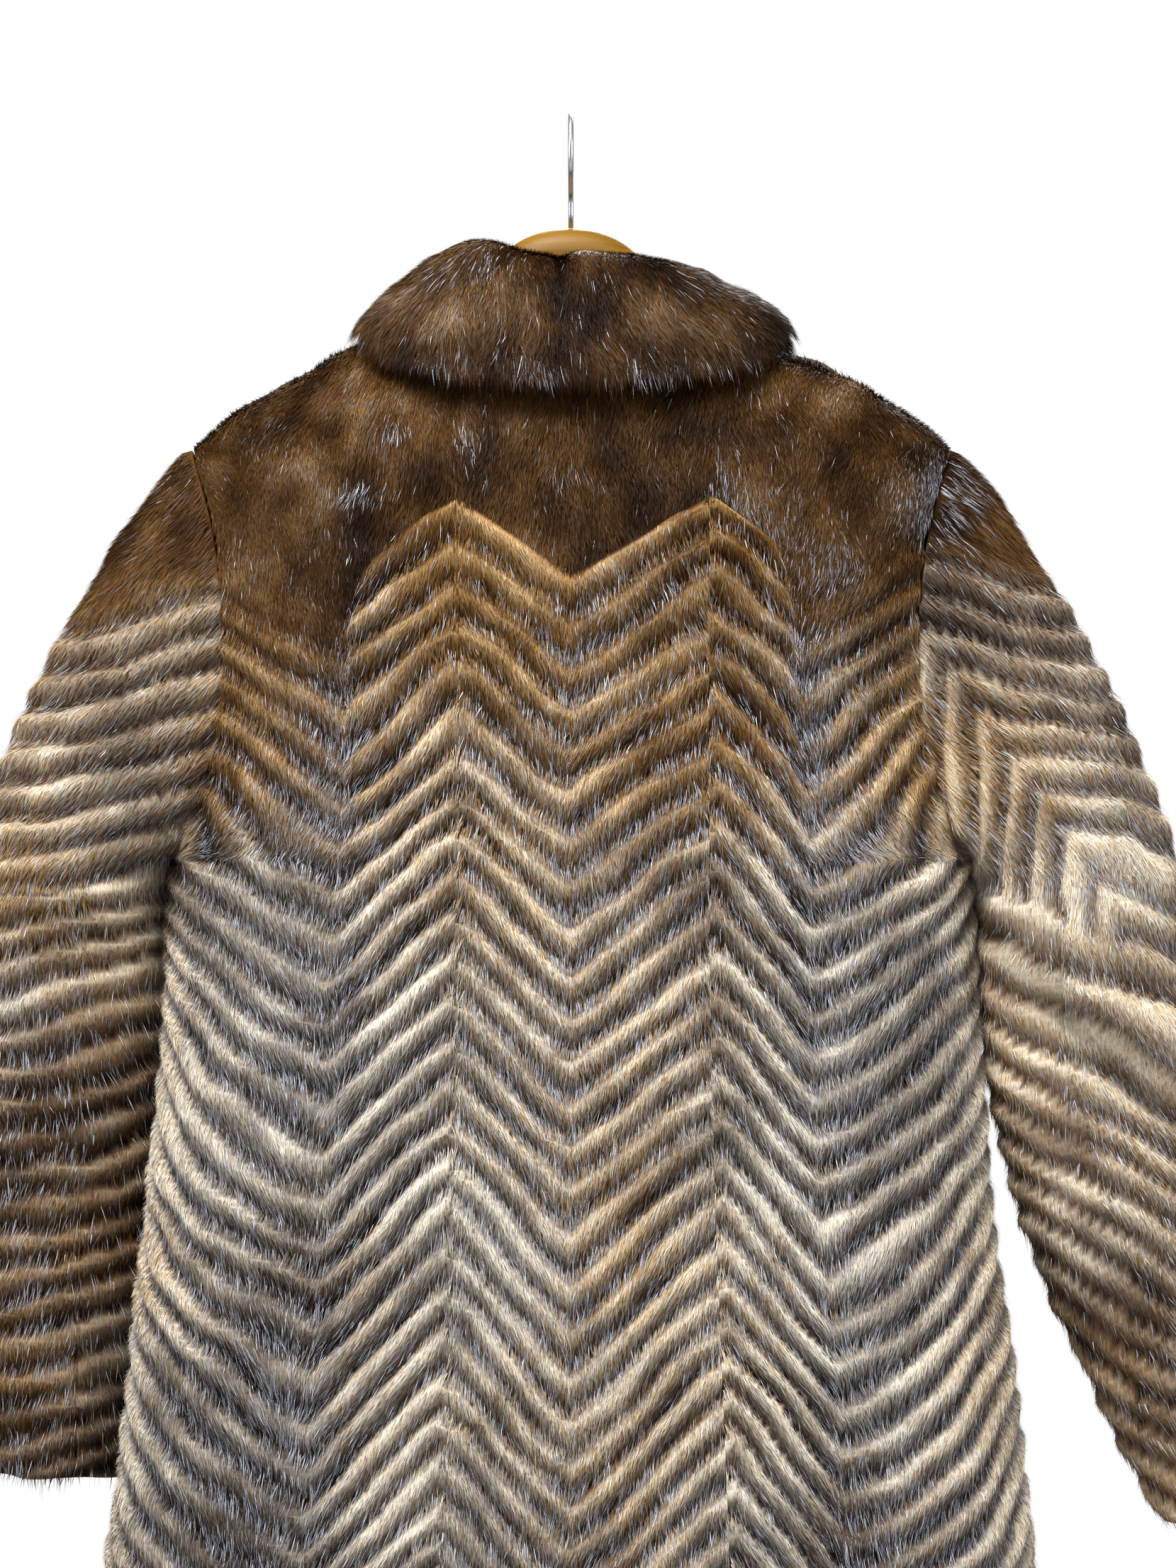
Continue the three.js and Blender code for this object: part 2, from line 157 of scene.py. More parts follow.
def loft(name, rings):
    """A closed solid through an array of rings, with a flat face on the first and the last."""
    count, round_ = rings.shape[:2]
    verts = rings.reshape(-1, 3)
    faces = []
    for i in range(count - 1):
        for k in range(round_):
            n = (k + 1) % round_
            faces.append((i * round_ + k, i * round_ + n, (i + 1) * round_ + n, (i + 1) * round_ + k))
    faces.append(tuple(range(round_))[::-1])
    faces.append(tuple((count - 1) * round_ + k for k in range(round_)))
    data = bpy.data.meshes.new(name)
    data.from_pydata(verts.tolist(), [], faces)
    data.shade_smooth()
    return put(name, data)


SHOULDER_LINE = [
    (0, -0.098), (0.078, -0.116), (0.138, -0.138), (0.172, -0.154),
    (0.199, -0.170), (0.222, -0.190), (0.236, -0.204),
]
HANGER_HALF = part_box("hanger_bar")[1][0]
CROWN_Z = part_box("hanger_bar")[1][2]
CROWN_HALF = 0.080
CROWN_LINE = [
    (0, 0), (0.014, -0.0015), (0.026, -0.0055), (0.034, -0.0105),
    (0.044, -0.020), (0.056, -0.037), (0.068, -0.0565), (CROWN_HALF, -0.0645),
]
CROWN_SWELL = 0.35
BAR_HALF_TALL = (0.017, 0.014)
BAR_HALF_DEEP = (0.012, 0.008)
TIP_ROUND = 0.1
HANGER_GAP = 0.011


def shoulder_z(x):
    return curve(SHOULDER_LINE, np.abs(x))


tip_shares = [0.94, 0.965, 0.985, 0.995, 1]
share = np.concatenate([[-s for s in reversed(tip_shares)], np.linspace(-0.91, 0.91, 90), tip_shares])
x = share * HANGER_HALF
ends = np.sqrt(np.maximum(0.006, 1 - np.maximum(0, (np.abs(share) - 0.9) / TIP_ROUND) ** 2))
near_crown = np.abs(x) < CROWN_HALF
swell = np.where(near_crown, 1 + CROWN_SWELL * smooth(1 - np.abs(x) / CROWN_HALF), 1)
top = np.where(near_crown, CROWN_Z + curve(CROWN_LINE, np.abs(x)), shoulder_z(x) - HANGER_GAP)
tall = mix(*BAR_HALF_TALL, np.abs(share)) * swell
deep = mix(*BAR_HALF_DEEP, np.abs(share))
turn = np.linspace(0, 2 * math.pi, 32, endpoint=False)
bar_y = (deep * ends)[:, None] * np.cos(turn)
bar_z = (top - tall)[:, None] + (tall * ends)[:, None] * np.sin(turn)
bar_x = np.broadcast_to(x[:, None], bar_y.shape)
hanger = loft("hanger", np.stack([bar_x, bar_y, bar_z], axis=-1))

wood = bpy.data.materials.new("golden_wood")
wood.use_nodes = True
nodes, links = wood.node_tree.nodes, wood.node_tree.links
skin = nodes["Principled BSDF"]
skin.inputs["Roughness"].default_value = 0.45
skin.inputs["Specular IOR Level"].default_value = 0.12
place = nodes.new("ShaderNodeTexCoord")
stretch = nodes.new("ShaderNodeMapping")
stretch.inputs["Scale"].default_value = (6, 90, 60)
grain = nodes.new("ShaderNodeTexNoise")
grain.inputs["Scale"].default_value = 1.6
grain.inputs["Detail"].default_value = 6
grain.inputs["Distortion"].default_value = 0.6
tint = nodes.new("ShaderNodeValToRGB")
tint.color_ramp.elements[0].position = 0.3
tint.color_ramp.elements[0].color = (0.110, 0.050, 0.003, 1)
tint.color_ramp.elements[1].position = 0.72
tint.color_ramp.elements[1].color = (0.205, 0.104, 0.005, 1)
rise = nodes.new("ShaderNodeBump")
rise.inputs["Strength"].default_value = 0.08
rise.inputs["Distance"].default_value = 0.0005
links.new(place.outputs["Object"], stretch.inputs["Vector"])
links.new(stretch.outputs["Vector"], grain.inputs["Vector"])
links.new(grain.outputs["Fac"], tint.inputs["Fac"])
links.new(tint.outputs["Color"], skin.inputs["Base Color"])
links.new(grain.outputs["Fac"], rise.inputs["Height"])
links.new(rise.outputs["Normal"], skin.inputs["Normal"])
hanger.data.materials.append(wood)
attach(hanger, "root")
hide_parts("hanger_bar")

# Hook: polished 3 mm wire, screwed into the crown. Its curve lies fore and aft, and opens to the front.


def unit(vectors):
    return vectors / np.maximum(np.linalg.norm(vectors, axis=-1, keepdims=True), 1e-12)


WIRE = 0.0015
HOOK_RADIUS = 0.0215
arc = np.radians(np.arange(200, -51, -5))
arc_y = HOOK_RADIUS * np.cos(arc)
arc_z = WIRE - HOOK_RADIUS + HOOK_RADIUS * np.sin(arc)
neck = [
    (0.0072, -0.0415), (0.0046, -0.0428), (0.0026, -0.045), (0.0011, -0.0475),
    (0.0004, -0.0500), (0, -0.054), (0, CROWN_Z + 0.0003),
]
path = np.array(list(zip(arc_y, arc_z)) + neck)
ahead = unit(np.gradient(path, axis=0))
turn = np.linspace(0, 2 * math.pi, 20, endpoint=False)
hook_y = path[:, :1] - ahead[:, 1:] * WIRE * np.cos(turn)
hook_z = path[:, 1:] + ahead[:, :1] * WIRE * np.cos(turn)
hook_x = np.broadcast_to(WIRE * np.sin(turn), hook_y.shape)
hook = loft("hook", np.stack([hook_x, hook_y, hook_z], axis=-1))

chrome = bpy.data.materials.new("polished_wire")
chrome.use_nodes = True
skin = chrome.node_tree.nodes["Principled BSDF"]
skin.inputs["Base Color"].default_value = (0.62, 0.63, 0.65, 1)
skin.inputs["Metallic"].default_value = 1.0
scratch = chrome.node_tree.nodes.new("ShaderNodeTexNoise")
scratch.inputs["Scale"].default_value = 260
dull = chrome.node_tree.nodes.new("ShaderNodeMapRange")
dull.inputs["To Min"].default_value = 0.28
dull.inputs["To Max"].default_value = 0.40
chrome.node_tree.links.new(scratch.outputs["Fac"], dull.inputs["Value"])
chrome.node_tree.links.new(dull.outputs["Result"], skin.inputs["Roughness"])
hook.data.materials.append(chrome)
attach(hook, "root")
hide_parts("hanger_hook")

# Pelt and fur: every piece of the coat is a thin skin with the dense underfur on it, and separate hairs that
# lie down it. Hair runs from near black through amber to cream, or through grey-brown where the pelt is cool,
# and some of the guard hairs are silver-blue: partly their own pale colour, partly painted sheen for light
# glinting on them.
PELT = 0.0060
THINNEST = 0.0015
UNDERFUR = 0.0014
SEAM = 0.0005
INNER_TONE = 0.35
HAIR_LONG = 0.0078
HAIR_HALF, GUARD_HALF = 0.00031, 0.00016
GUARD_EXTRA = 0.0040
ROOT_DEPTH = 0.0002
STEP = 1e-3
LATTICE = 32
WARM = [
    (0.00, (0.009, 0.0032, 0.0008)), (0.25, (0.040, 0.0160, 0.0036)), (0.50, (0.135, 0.064, 0.0170)),
    (0.75, (0.340, 0.200, 0.0780)), (1.00, (0.700, 0.520, 0.3000)),
]
COOL = [
    (0.00, (0.010, 0.0072, 0.0060)), (0.25, (0.044, 0.0325, 0.0260)), (0.50, (0.150, 0.1220, 0.1000)),
    (0.75, (0.380, 0.3300, 0.2700)), (1.00, (0.820, 0.7600, 0.6500)),
]
# Silver-blue guard hairs: partly their own pale colour, partly painted sheen for light glinting on them.
SILVER_SHEEN = [(0.00, (0.160, 0.165, 0.185)), (0.60, (0.420, 0.445, 0.520)), (1.00, (0.860, 0.900, 1.000))]
BANDS = [(0.01, 0.41, WARM), (0.43, 0.83, COOL), (0.85, 0.99, SILVER_SHEEN)]


def ramp(material_nodes, stops):
    made = material_nodes.new("ShaderNodeValToRGB")
    made.color_ramp.elements.remove(made.color_ramp.elements[1])
    for i, (at, colour) in enumerate(stops):
        stop = made.color_ramp.elements[0] if i == 0 else made.color_ramp.elements.new(at)
        stop.position = at
        stop.color = (*colour, 1)
    return made


def colour_mix(material, blend, factor, first, second):
    made = material.nodes.new("ShaderNodeMix")
    made.data_type = "RGBA"
    made.blend_type = blend
    if isinstance(factor, float):
        made.inputs["Factor"].default_value = factor
    else:
        material.links.new(factor, made.inputs["Factor"])
    material.links.new(first, made.inputs["A"])
    material.links.new(second, made.inputs["B"])
    return made.outputs["Result"]


hair_finish = bpy.data.materials.new("mink_hair")
hair_finish.use_nodes = True
nodes, links = hair_finish.node_tree.nodes, hair_finish.node_tree.links
skin = nodes["Principled BSDF"]
skin.inputs["Roughness"].default_value = 0.50
skin.inputs["Specular IOR Level"].default_value = 0.08
strand = nodes.new("ShaderNodeUVMap")
strand.uv_map = "OFBake"
parts = nodes.new("ShaderNodeSeparateXYZ")
tones = ramp(nodes, [(mix(low, high, at), colour) for low, high, stops in BANDS for at, colour in stops])
length_shade = ramp(nodes, [(0.0, (0.66, 0.62, 0.58)), (0.4, (0.96, 0.95, 0.94)), (1.0, (1.08, 1.08, 1.08))])
links.new(strand.outputs["UV"], parts.inputs["Vector"])
links.new(parts.outputs["X"], tones.inputs["Fac"])
links.new(parts.outputs["Y"], length_shade.inputs["Fac"])
shaded = colour_mix(
    hair_finish.node_tree, "MULTIPLY", 1.0, tones.outputs["Color"], length_shade.outputs["Color"]
)
links.new(shaded, skin.inputs["Base Color"])

pelt_finish = bpy.data.materials.new("mink_underfur")
pelt_finish.use_nodes = True
nodes, links = pelt_finish.node_tree.nodes, pelt_finish.node_tree.links
skin = nodes["Principled BSDF"]
skin.inputs["Roughness"].default_value = 0.85
skin.inputs["Specular IOR Level"].default_value = 0.05
tone_map = nodes.new("ShaderNodeAttribute")
tone_map.attribute_name = "tone"
warm_map = nodes.new("ShaderNodeAttribute")
warm_map.attribute_name = "warm"
where = nodes.new("ShaderNodeTexCoord")
comb = nodes.new("ShaderNodeMapping")
comb.inputs["Scale"].default_value = (900, 900, 130)
strands = nodes.new("ShaderNodeTexNoise")
strands.inputs["Scale"].default_value = 1.0
strands.inputs["Detail"].default_value = 4
uneven = nodes.new("ShaderNodeMapRange")
uneven.inputs["To Min"].default_value = -0.22
uneven.inputs["To Max"].default_value = 0.10
toned = nodes.new("ShaderNodeMath")
warm_tones, cool_tones = ramp(nodes, WARM), ramp(nodes, COOL)
pile = nodes.new("ShaderNodeBump")
pile.inputs["Strength"].default_value = 0.7
pile.inputs["Distance"].default_value = 0.0015
links.new(where.outputs["Object"], comb.inputs["Vector"])
links.new(comb.outputs["Vector"], strands.inputs["Vector"])
links.new(strands.outputs["Fac"], uneven.inputs["Value"])
links.new(uneven.outputs["Result"], toned.inputs[0])
links.new(tone_map.outputs["Fac"], toned.inputs[1])
links.new(toned.outputs["Value"], warm_tones.inputs["Fac"])
links.new(toned.outputs["Value"], cool_tones.inputs["Fac"])
warmth = warm_map.outputs["Fac"]
tinted = colour_mix(
    pelt_finish.node_tree, "MIX", warmth, cool_tones.outputs["Color"], warm_tones.outputs["Color"]
)
links.new(tinted, skin.inputs["Base Color"])
links.new(strands.outputs["Fac"], pile.inputs["Height"])
links.new(pile.outputs["Normal"], skin.inputs["Normal"])


def drift(points, size, seed):
    """Soft wandering values from -1 to 1 over space, in lumps of about the given size."""
    rng = np.random.default_rng(seed)
    lattice = rng.uniform(-1, 1, (LATTICE, LATTICE, LATTICE))
    p = points / size + 16.37
    cell = np.floor(p).astype(int)
    t = p - cell
    t = t * t * (3 - 2 * t)
    total = np.zeros(points.shape[:-1])
    for dx in (0, 1):
        for dy in (0, 1):
            for dz in (0, 1):
                weight = (
                    np.where(dx, t[..., 0], 1 - t[..., 0])
                    * np.where(dy, t[..., 1], 1 - t[..., 1])
                    * np.where(dz, t[..., 2], 1 - t[..., 2])
                )
                at = (cell + (dx, dy, dz)) % LATTICE
                total += weight * lattice[at[..., 0], at[..., 1], at[..., 2]]
    return total


def moves(place, u, v):
    """How far a form place(u, v) moves over two small steps of u, and over two of v."""
    return place(u + STEP, v) - place(u - STEP, v), place(u, v + STEP) - place(u, v - STEP)


def pelt(name, place, nap, us, vs, outward, coarse=4):
    """A thin closed skin over place(u, v), shaped and toned by its nap.

    Its inner face follows the relief where that is deep, and has one row and column in `coarse`."""
    u, v = np.meshgrid(us, vs, indexing="ij")
    base = place(u, v)
    out = unit(np.cross(*moves(place, u, v)) * outward)
    coat = nap(u, v, base)
    front = base + out * (coat["relief"] - UNDERFUR)[..., None]
    keep_u = sorted(set(range(0, len(us), coarse)) | {len(us) - 1})
    keep_v = sorted(set(range(0, len(vs), coarse)) | {len(vs) - 1})
    inner = np.minimum(-PELT, coat["relief"] - UNDERFUR - THINNEST)
    behind = (base + out * inner[..., None])[np.ix_(keep_u, keep_v)]
    nu, nv, mu, mv = len(us), len(vs), len(keep_u), len(keep_v)
    shift = nu * nv

    def fine(i, j):
        return i * nv + j

    def back(i, j):
        return shift + i * mv + j

    faces = [
        (fine(i, j), fine(i + 1, j), fine(i + 1, j + 1), fine(i, j + 1))
        for i in range(nu - 1) for j in range(nv - 1)
    ]
    faces += [
        (back(i, j), back(i, j + 1), back(i + 1, j + 1), back(i + 1, j))
        for i in range(mu - 1) for j in range(mv - 1)
    ]
    for i in range(mu - 1):
        run = range(keep_u[i], keep_u[i + 1] + 1)
        faces.append((back(i, 0), back(i + 1, 0), *[fine(k, 0) for k in reversed(run)]))
        faces.append((back(i + 1, mv - 1), back(i, mv - 1), *[fine(k, nv - 1) for k in run]))
    for j in range(mv - 1):
        run = range(keep_v[j], keep_v[j + 1] + 1)
        faces.append((back(0, j + 1), back(0, j), *[fine(0, k) for k in run]))
        faces.append((back(mu - 1, j), back(mu - 1, j + 1), *[fine(nu - 1, k) for k in reversed(run)]))
    if outward < 0:
        faces = [f[::-1] for f in faces]
    data = bpy.data.meshes.new(name)
    data.from_pydata(np.concatenate([front.reshape(-1, 3), behind.reshape(-1, 3)]).tolist(), [], faces)
    data.shade_smooth()
    for kind in ("tone", "warm"):
        plain = np.full(mu * mv, INNER_TONE)
        kept = data.attributes.new(kind, "FLOAT", "POINT")
        kept.data.foreach_set("value", np.concatenate([coat[kind].ravel(), plain]).astype(np.float32))
    data.materials.append(pelt_finish)
    piece = put(name, data)
    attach(piece, "root")
    return piece


def hairs(name, place, nap, spread, count, seed, outward, long=HAIR_LONG, lean=0.12, guards=0.24):
    """Single-blade hairs on place(u, v) between the corners of spread, rooted in the relief and lying on it.

    Each tip comes down on the relief further on, so hairs follow the strips, and past the lower edge it hangs
    free. Guard hairs are longer and finer."""
    rng = np.random.default_rng(seed)
    (u0, v0), (u1, v1) = spread
    u = rng.uniform(u0, u1, count)
    v = rng.uniform(v0, v1, count)
    base = place(u, v)
    du, dv = (moved / (2 * STEP) for moved in moves(place, u, v))
    out = unit(np.cross(du, dv) * outward)
    down = unit(dv)
    here = nap(u, v, base)
    wave, tuft = drift(base, 0.040, seed + 1), drift(base, 0.010, seed + 2)
    heading = 0.22 * wave + 0.26 * tuft + rng.normal(0, 0.14, count)
    lie = down * np.cos(heading)[:, None] + np.cross(out, down) * np.sin(heading)[:, None]
    lie = lie + here["flow"][:, None] * np.array([1.0, 0, 0])
    lie = unit(lie - out * (lie * out).sum(1)[:, None])
    guard = rng.random(count) < guards
    length = long * np.where(guard, rng.uniform(1.0, 1.7, count), rng.uniform(0.65, 1.15, count))
    room = here["reach"] * rng.uniform(0.8, 1.05, count)
    length = np.minimum(length, np.where(guard, here["reach"] + GUARD_EXTRA, room))
    lain = lie * length[:, None]
    aa, ab, bb = (du * du).sum(1), (du * dv).sum(1), (dv * dv).sum(1)
    pa, pb = (lain * du).sum(1), (lain * dv).sum(1)
    spare = np.maximum(aa * bb - ab**2, 1e-14)
    tip_u, tip_v = u + (bb * pa - ab * pb) / spare, v + (aa * pb - ab * pa) / spare
    past = np.maximum(tip_v - v1, 0)
    tip_v = tip_v - past
    overhang = dv * past[:, None]
    droop = np.linalg.norm(overhang, axis=1)[:, None] * np.array([0, 0, 0.5])
    tip = place(tip_u, tip_v) + 0.6 * overhang - droop
    gone = tip - base
    distance = np.maximum(np.linalg.norm(gone, axis=1), 1e-9)
    tip = base + gone * np.minimum(1, 1.1 * length / distance)[:, None]
    there = nap(tip_u, tip_v, tip)
    rise = length * np.clip(lean + 0.06 * tuft + rng.normal(0, 0.06, count), 0.01, 0.8)
    tip = tip + out * (there["relief"] + rise)[:, None]
    root = base + out * (here["relief"] - UNDERFUR - ROOT_DEPTH)[:, None]
    along = unit(tip - root)
    across = unit(np.cross(along, out))
    twist = rng.normal(0, 0.5, count)
    flat = across * np.cos(twist)[:, None] + np.cross(along, across) * np.sin(twist)[:, None]
    flat *= (np.where(guard, GUARD_HALF, HAIR_HALF) * rng.uniform(0.75, 1.3, count))[:, None]
    tone = np.where(guard, here["tone"] - 0.08, mix(here["tone"], there["tone"], 0.6))
    tone = np.clip(tone + rng.normal(0, 0.055, count) + 0.05 * tuft, 0.0, 1.0)
    # Painted sheen: these hairs take the silver band.
    glint = rng.random(count) < here["silver"] * np.where(guard, 1.0, 0.10)
    warm = rng.random(count) < here["warm"]
    shade = np.where(warm, mix(*BANDS[0][:2], tone), mix(*BANDS[1][:2], tone))
    shade = np.where(glint, mix(*BANDS[2][:2], 0.03 + 0.94 * rng.random(count) ** 1.15), shade)
    points = np.stack([root - flat, root + flat, tip], axis=1).reshape(-1, 3)
    data = bpy.data.meshes.new(name)
    data.vertices.add(len(points))
    data.vertices.foreach_set("co", points.ravel().astype(np.float32))
    data.loops.add(len(points))
    data.loops.foreach_set("vertex_index", np.arange(len(points), dtype=np.int32))
    data.polygons.add(count)
    data.polygons.foreach_set("loop_start", np.arange(0, len(points), 3, dtype=np.int32))
    data.update(calc_edges=True)
    strand_u = shade[:, None] + 0.003 * np.array([-1, 1, 0])
    strand_v = np.broadcast_to(np.array([0.02, 0.02, 0.98]), strand_u.shape)
    strand_uv = np.stack([strand_u, strand_v], axis=-1)
    data.uv_layers.new(name="OFBake").data.foreach_set("uv", strand_uv.ravel().astype(np.float32))
    data.materials.append(hair_finish)
    piece = put(name, data)
    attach(piece, "root")
    return piece


# Back yoke: plain dark mink from the collar to a zigzag seam over the shoulder blades. Its fur is uncut, so it
# shows soft dimples and patches of painted silver sheen in place of strips.
HEM_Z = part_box("back_center")[0][2] + 0.0005
TIP_Z = -0.190
ARMPIT_Z = -0.430
NECK_HALF = 0.078
NECK_SIDE_Z = -0.116
BACK_NECK_DROP = 0.013
FRONT_NECK_DROP = 0.073
SHOULDER_ROUND = 0.110
FRONT_GAP = 0.004
YOKE_POINT_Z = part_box("back_yoke")[0][2]
LEFT_PEAK, LEFT_VALLEY = 0.172, 0.385
RIGHT_PEAK, RIGHT_VALLEY = 0.217, 0.400
PEAK_RISE, SIDE_RISE = 0.045, 0.038
FLUTE = 0.004
FLUTE_START, FLUTE_SPAN = 0.120, 0.300
HALF_WIDTH = [
    (-0.100, 0.236), (-0.430, 0.233), (-0.520, 0.235), (-0.620, 0.242), (-0.690, 0.250), (-0.980, 0.284),
]
BACK_DEPTH = [(-0.100, 0.064), (-0.430, 0.068), (-0.650, 0.072), (-0.980, 0.082)]
FRONT_DEPTH = [(-0.100, 0.068), (-0.430, 0.074), (-0.650, 0.076), (-0.980, 0.086)]
ARMHOLE_X = [
    (-0.190, 0.222), (-0.240, 0.206), (-0.300, 0.197), (-0.350, 0.199), (-0.400, 0.213), (-0.430, 0.233),
]
BEND_FROM = 0.35
UNCUT_REACH = 0.03


def bell(x, width):
    return np.exp(-((x / width) ** 2))


def column_angle(share, z):
    a = np.abs(share)
    quarter = math.pi / 2
    cut = np.arcsin(np.clip(curve(ARMHOLE_X, z) / curve(HALF_WIDTH, z), 0, 1))
    edge = np.where(z > ARMPIT_Z, cut, quarter)
    bent = BEND_FROM * quarter + (a - BEND_FROM) / (1 - BEND_FROM) * (edge - BEND_FROM * quarter)
    return np.sign(share) * np.where(a <= BEND_FROM, a * quarter, bent)


def turns(share):
    """Where the strips' peak and valley lines run on the share's own side."""
    peak = np.where(share >= 0, LEFT_PEAK, RIGHT_PEAK)
    return peak, np.where(share >= 0, LEFT_VALLEY, RIGHT_VALLEY)


def zigzag(share):
    """0 on a valley line of the strips, 1 on a peak line and at a side seam."""
    a = np.abs(share)
    peak, valley = turns(share)
    inner = np.where(a <= peak, a / peak, (valley - a) / (valley - peak))
    return np.where(a <= valley, inner, (a - valley) / (1 - valley))


def on_side(share):
    return np.abs(share) > turns(share)[1]


def yoke_seam(share):
    return YOKE_POINT_Z + zigzag(share) * np.where(on_side(share), SIDE_RISE, PEAK_RISE)


def body_point(face, share, z):
    wide = curve(HALF_WIDTH, z)
    x = wide * np.sin(column_angle(share, z))
    deep = curve(BACK_DEPTH if face > 0 else FRONT_DEPTH, z)
    below = np.clip((shoulder_z(x) - z) / SHOULDER_ROUND, 0, 1)
    round_ = np.sqrt(np.maximum(0, 1 - (1 - below) ** 2))
    flat = np.sqrt(np.maximum(0, 1 - np.abs(x / wide) ** 3))
    falling = smooth((ARMPIT_Z + FLUTE_START - z) / FLUTE_SPAN)
    flute = FLUTE * falling * (smooth(zigzag(share)) - 0.5) * flat
    y = face * (SEAM / 2 + deep * flat * round_ + (flute if face > 0 else 0))
    return np.stack([x, y, z], axis=-1)


def top_z(face, share):
    z = np.full(np.shape(share), NECK_SIDE_Z)
    drop = BACK_NECK_DROP if face > 0 else FRONT_NECK_DROP
    for _ in range(12):
        x = np.abs(curve(HALF_WIDTH, z) * np.sin(column_angle(share, z)))
        neckline = NECK_SIDE_Z - drop * np.sqrt(np.maximum(0, 1 - (x / NECK_HALF) ** 2))
        z = np.where(x < NECK_HALF, neckline, shoulder_z(x))
    return z


def yoke(u, v):
    u = np.clip(u, -1, 1)
    v = np.clip(v, 0, 1)
    return body_point(1, u, mix(top_z(1, u), yoke_seam(u), v))


# Dimples in the yoke, tan places, and places of painted silver sheen, where its hairs flash in the light. Each
# row is (across, up, half width, half height, depth or strength).
DIMPLES = [
    (0.120, -0.215, 0.020, 0.014, 0.0042), (0.085, -0.180, 0.022, 0.013, 0.0030),
    (0.160, -0.245, 0.014, 0.022, 0.0036), (0.045, -0.200, 0.012, 0.030, 0.0022),
    (-0.060, -0.205, 0.014, 0.026, 0.0028), (-0.125, -0.220, 0.016, 0.022, 0.0036),
    (-0.165, -0.230, 0.018, 0.018, 0.0036), (-0.010, -0.215, 0.018, 0.013, 0.0018),
    (0.098, -0.240, 0.016, 0.013, 0.0032), (-0.092, -0.185, 0.014, 0.020, 0.0026),
    (0.185, -0.205, 0.013, 0.018, 0.0028),
]
TANS = [
    (0.150, -0.165, 0.014, 0.010, 0.24), (-0.155, -0.165, 0.014, 0.012, 0.26),
    (0.125, -0.150, 0.010, 0.008, 0.22), (0.088, -0.235, 0.016, 0.012, 0.20),
    (-0.060, -0.245, 0.012, 0.016, 0.12), (0.175, -0.225, 0.010, 0.014, 0.16),
]
FLASHES = [
    (0.102, -0.188, 0.008, 0.008, 0.9), (0.119, -0.220, 0.016, 0.006, 0.9),
    (0.004, -0.213, 0.012, 0.006, 0.5), (-0.105, -0.250, 0.020, 0.022, 0.9),
    (0.084, -0.262, 0.012, 0.016, 0.5), (-0.150, -0.262, 0.014, 0.018, 0.6),
    (0.060, -0.190, 0.006, 0.010, 0.5), (-0.088, -0.215, 0.008, 0.016, 0.6),
    (-0.216, -0.222, 0.022, 0.024, 0.9),
]


def spots(at, rows):
    """Soft oval spots: each row is (across, up, half width, half height, strength)."""
    total = np.zeros(at.shape[:-1])
    for across, up, wide, tall, strength in rows:
        near = ((at[..., 0] - across) / wide) ** 2 + ((at[..., 2] - up) / tall) ** 2
        total = total + strength * np.exp(-near)
    return total


def plain_nap(u, v, at):
    """Uncut fur: its relief, tone, warmth, longest hair, share of hairs painted silver as sheen and sideways
    flow.
    """
    dents = spots(at, DIMPLES)
    patch = drift(at, 0.042, 13)
    # Painted shadow: a band of the yoke just under the collar's edge is darkened.
    collar_shadow = bell(at[..., 2] + 0.167 - 1.5 * at[..., 0] ** 2, 0.009)
    relief = 0.0034 * drift(at, 0.050, 11) + 0.0022 * drift(at, 0.020, 12) - dents
    tone = 0.345 + 0.22 * patch + 0.17 * drift(at, 0.018, 14) + 0.09 * drift(at, 0.008, 17)
    # Painted shade: the dimples are darkened as well as sunk.
    tone = tone - 20 * dents + spots(at, TANS) - 0.14 * collar_shadow
    return dict(
        relief=relief,
        tone=tone,
        warm=np.clip(1.35 - tone, 0.4, 1),
        reach=np.full(relief.shape, UNCUT_REACH),
        silver=np.clip(0.01 + 0.05 * smooth(drift(at, 0.030, 15) * 2) + spots(at, FLASHES), 0, 1),
        flow=0.35 * drift(at, 0.045, 16),
    )


yoke_columns = np.linspace(-1, 1, 151)
yoke_pelt = pelt("yoke", yoke, plain_nap, yoke_columns, np.linspace(0, 1, 32) ** 1.15, 1)
yoke_fur = hairs("yoke_fur", yoke, plain_nap, ((-1, 0), (1, 1)), 90000, 21, 1)
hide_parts("back_yoke")

# Back panels: let-out mink strips sewn slantwise into zigzags, each a soft roll with a pale upper edge, partly
# the fur's own colour and partly painted highlight, that falls away to dark fur with painted silver sheen and
# a painted shade in the groove to the next strip. The hair runs in towards the low lines. Three panels meet on
# the peaks.
PITCH = 0.0248
RIDGE = 0.0052


def down_from(height, span, at):
    """Share of the way down from a height, over a span."""
    return np.clip((height - at[..., 2]) / span, 0, 1)


def strip_row(share, z, shift):
    """Strips counted down from the yoke seam, steeper towards the hem."""
    down = np.clip((YOKE_POINT_Z - z) / 0.42, -0.3, 1.5)
    centre_rise = mix(PEAK_RISE, 0.072, down)
    side_rise = mix(SIDE_RISE, 0.088, np.clip(down * 1.9, -0.3, 1.2))
    a = np.abs(share)
    rise = np.where(on_side(share), side_rise, np.where(a > turns(share)[0], centre_rise * 1.12, centre_rise))
    height = np.stack([np.zeros_like(z), np.zeros_like(z), z], axis=-1)
    zig = zigzag(share + 0.022 * np.sin(math.pi * np.clip(a, 0, 1)) * drift(height, 0.075, 30))
    zig = np.where(zig < 1, mix(zig, smooth(zig), 0.25), zig)
    return (YOKE_POINT_Z + zig * rise - z) / PITCH + shift


